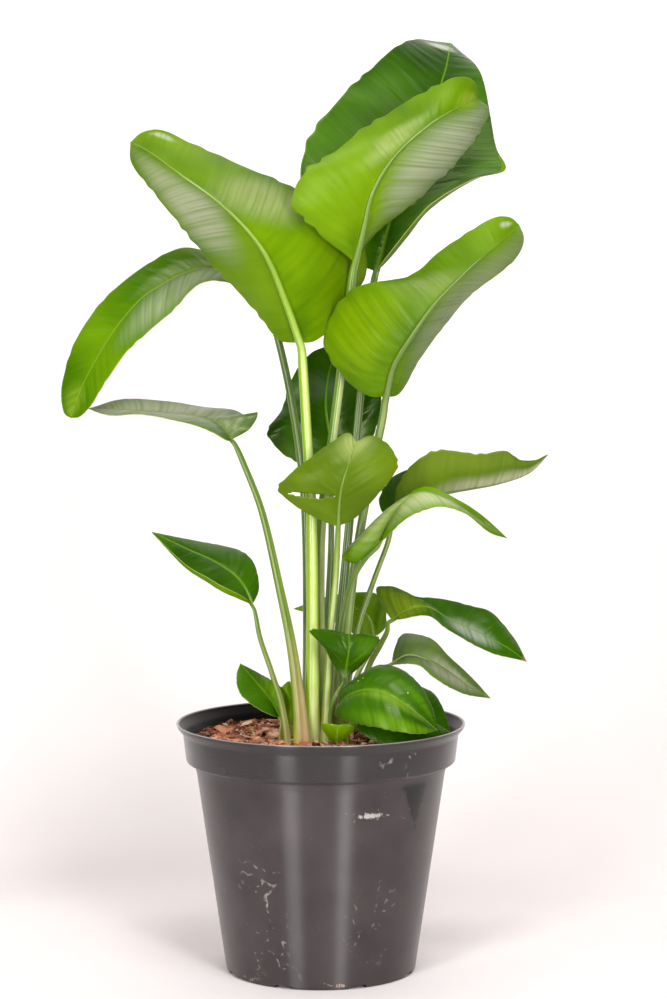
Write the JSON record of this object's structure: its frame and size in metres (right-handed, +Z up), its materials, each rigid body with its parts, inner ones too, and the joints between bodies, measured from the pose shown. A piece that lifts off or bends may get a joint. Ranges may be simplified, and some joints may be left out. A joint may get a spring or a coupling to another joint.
{
  "type": "potted bird of paradise plant",
  "caption": "Young bird of paradise with paddle-shaped leaves on long stalks, rooted in bark mix in a round tapered plastic nursery pot.",
  "frame": {"origin": "centre of the pot's foot, on the surface the pot stands on", "axes": "+Z up along the pot's axis; +Y away from the side the picture was taken from; +X to that view's right"},
  "size_m": [0.4216, 0.3513, 0.8135],
  "materials": {
    "pot": "black injection-moulded plastic, satin, finely scuffed",
    "potting_mix": "composted bark chips and fibre",
    "stalk": "smooth waxy green leaf stalk",
    "blade": "glossy green leaf, leathery, ribbed, slightly translucent"
  },
  "bodies": {
    "root": {"pot": "pot", "potting_mix": "potting_mix", "stalk_top_back": "stalk", "blade_top_back": "blade", "stalk_top_front": "stalk", "blade_top_front": "blade", "stalk_upper_left": "stalk", "blade_upper_left": "blade", "stalk_upper_right": "stalk", "blade_upper_right": "blade", "stalk_far_left": "stalk", "blade_far_left": "blade", "stalk_mid_left": "stalk", "blade_mid_left": "blade", "stalk_small_left": "stalk", "blade_small_left": "blade", "stalk_behind_centre": "stalk", "blade_behind_centre": "blade", "stalk_front_centre": "stalk", "blade_front_centre": "blade", "stalk_mid_right_upper": "stalk", "blade_mid_right_upper": "blade", "stalk_mid_right_lower": "stalk", "blade_mid_right_lower": "blade", "stalk_low_right": "stalk", "blade_low_right": "blade", "stalk_lowest_right": "stalk", "blade_lowest_right": "blade", "stalk_small_centre": "stalk", "blade_small_centre": "blade", "stalk_front_low_right": "stalk", "blade_front_low_right": "blade", "stalk_under_right": "stalk", "blade_under_right": "blade", "stalk_tiny_front": "stalk", "blade_tiny_front": "blade", "stalk_base_left": "stalk", "blade_base_left": "blade", "stalk_base_left_young": "stalk", "blade_base_left_young": "blade", "stalk_behind_low": "stalk", "blade_behind_low": "blade"}
  },
  "joints": []
}
